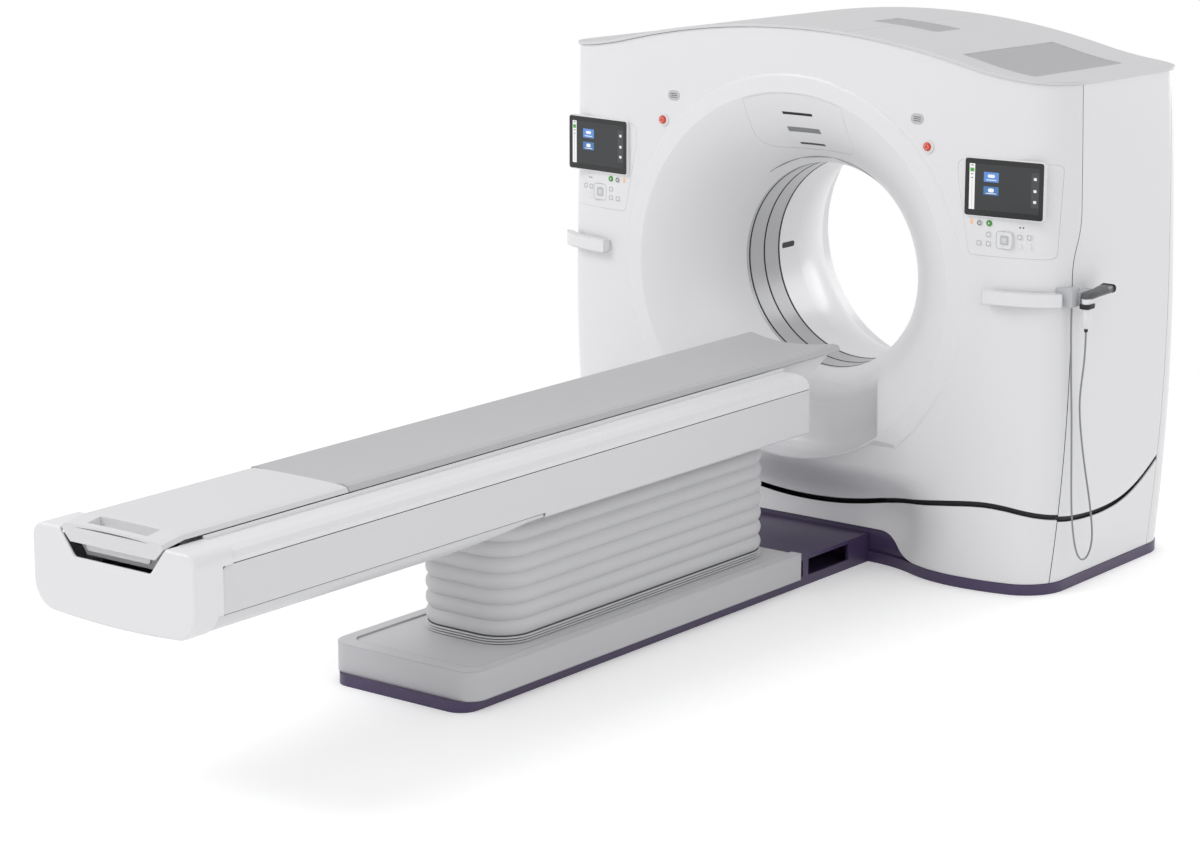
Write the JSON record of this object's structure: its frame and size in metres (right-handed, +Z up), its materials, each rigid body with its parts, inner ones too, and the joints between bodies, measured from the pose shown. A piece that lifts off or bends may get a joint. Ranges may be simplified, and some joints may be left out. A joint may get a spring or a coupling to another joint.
{
  "type": "ct scanner",
  "caption": "CT scanner: gantry with a funnel-shaped bore and a turning tube and detector, and a lifting patient table whose cradle slides through the bore",
  "frame": {"origin": "On the floor straight below the isocentre, the middle of the scan circle, which is 1.1 m up", "axes": "+Z up, +Y along the bore from the table side to the rear, +X to the right as seen from the table"},
  "size_m": [2.3768, 4.596, 2.049],
  "materials": {
    "white_cover": "satin white moulded cover",
    "pale_grey_cover": "pale grey moulded cover",
    "plum_base": "dark plum powder coat",
    "frame_steel": "grey painted steel",
    "bearing_steel": "ground steel",
    "grille_grey": "perforated grey plastic",
    "black_trim": "black plastic",
    "liner_grey": "grey scan window liner",
    "black_rubber": "black rubber",
    "dark_lens": "dark infrared window",
    "screen_glass": "black glass, switched on",
    "keypad_grey": "white moulded panel with grey keys",
    "green_key": "green silicone key",
    "black_key": "black silicone key with a white ring",
    "key_grey": "pale grey silicone pad",
    "stop_red": "red plastic",
    "scanner_grey": "white and grey handheld casing with black ends",
    "cord_grey": "grey cord jacket",
    "rotor_aluminium": "machined aluminium",
    "housing_grey": "grey painted housing",
    "brass_track": "brass contact tracks",
    "bellows_grey": "pale grey flexible bellows",
    "cradle_grey": "matt grey composite board"
  },
  "bodies": {
    "base": {"gantry_plinth": "plum_base", "gantry_frame": "frame_steel", "stator_ring": "frame_steel", "main_bearing": "bearing_steel", "front_cover": "white_cover", "channel_panel": "white_cover", "rear_cover": "white_cover", "side_cover_left": "white_cover", "side_cover_right": "white_cover", "top_cover": "pale_grey_cover", "top_grilles": "grille_grey", "front_skirt": "white_cover", "side_skirt_left": "white_cover", "side_skirt_right": "white_cover", "reveal_band": "black_trim", "bore_liner": "liner_grey", "bore_seals": "black_rubber", "hood_panel": "white_cover", "sensor_windows": "dark_lens", "display_housings": "white_cover", "display_glasses": "screen_glass", "keypad_left": "keypad_grey", "keypad_right": "keypad_grey", "stop_collars": "black_trim", "speaker_grilles": "grille_grey", "grab_handles": "white_cover", "scanner_holder": "scanner_grey", "scanner_cord": "cord_grey", "drive_motor": "frame_steel", "hand_scanner": "scanner_grey", "table_plinth": "plum_base", "base_cover": "pale_grey_cover", "dock_frame": "plum_base", "column_outer": "frame_steel"},
    "rotor": {"rotor_drum": "rotor_aluminium", "xray_tube": "housing_grey", "collimator": "housing_grey", "hv_generator": "housing_grey", "detector_arc": "rotor_aluminium", "slip_ring": "brass_track"},
    "column_stage": {"column_middle": "frame_steel"},
    "lift": {"beam_frame": "rotor_aluminium", "bellows": "bellows_grey", "side_panel_left": "white_cover", "side_panel_right": "white_cover", "rail_covers": "white_cover", "belly_pan": "white_cover", "end_cap": "white_cover", "tail_cover": "pale_grey_cover"},
    "handle": {"release_handle": "white_cover"},
    "cradle_slide": {"cradle": "cradle_grey", "cradle_carrier": "white_cover"},
    "ring_key_left_body": {"ring_key_left": "black_key"},
    "ring_key_right_body": {"ring_key_right": "black_key"},
    "green_key_left_body": {"green_key_left": "green_key"},
    "green_key_right_body": {"green_key_right": "green_key"},
    "centre_pad_left_body": {"centre_pad_left": "key_grey"},
    "centre_pad_right_body": {"centre_pad_right": "key_grey"},
    "stop_button_left_body": {"stop_button_left": "stop_red"},
    "stop_button_right_body": {"stop_button_right": "stop_red"}
  },
  "joints": [
    {"name": "rotor_spin", "type": "hinge", "parent": "base", "child": "rotor", "pos_m": [0, 0, 1.1], "axis": [0, 1, 0], "continuous": true},
    {"name": "table_lift", "type": "slide", "parent": "base", "child": "lift", "axis": [0, 0, 1], "range_m": [-0.35, 0], "deforming": ["bellows"]},
    {"name": "column_follow", "type": "slide", "parent": "base", "child": "column_stage", "axis": [0, 0, 1], "range_m": [-0.175, 0]},
    {"name": "cradle_travel", "type": "slide", "parent": "lift", "child": "cradle_slide", "axis": [0, 1, 0], "range_m": [0, 1.7]},
    {"name": "handle_pull", "type": "hinge", "parent": "lift", "child": "handle", "pos_m": [0, -3.955, 0.806], "axis": [1, 0, 0], "range_deg": [-28, 0], "stiffness_Nm_per_rad": 1},
    {"name": "ring_key_left_press", "type": "slide", "parent": "base", "child": "ring_key_left_body", "axis": [0, 1, 0], "range_m": [0, 0.0015], "stiffness_N_per_m": 700},
    {"name": "ring_key_right_press", "type": "slide", "parent": "base", "child": "ring_key_right_body", "axis": [0, 1, 0], "range_m": [0, 0.0015], "stiffness_N_per_m": 700},
    {"name": "green_key_left_press", "type": "slide", "parent": "base", "child": "green_key_left_body", "axis": [0, 1, 0], "range_m": [0, 0.0015], "stiffness_N_per_m": 700},
    {"name": "green_key_right_press", "type": "slide", "parent": "base", "child": "green_key_right_body", "axis": [0, 1, 0], "range_m": [0, 0.0015], "stiffness_N_per_m": 700},
    {"name": "centre_pad_left_press", "type": "slide", "parent": "base", "child": "centre_pad_left_body", "axis": [0, 1, 0], "range_m": [0, 0.0015], "stiffness_N_per_m": 700},
    {"name": "centre_pad_right_press", "type": "slide", "parent": "base", "child": "centre_pad_right_body", "axis": [0, 1, 0], "range_m": [0, 0.0015], "stiffness_N_per_m": 700},
    {"name": "stop_button_left_press", "type": "slide", "parent": "base", "child": "stop_button_left_body", "axis": [0, 1, 0], "range_m": [0, 0.004], "stiffness_N_per_m": 3000},
    {"name": "stop_button_right_press", "type": "slide", "parent": "base", "child": "stop_button_right_body", "axis": [0, 1, 0], "range_m": [0, 0.004], "stiffness_N_per_m": 3000}
  ],
  "couplings": [
    {"joint": "column_follow", "follows": "table_lift", "ratio": 0.5}
  ]
}
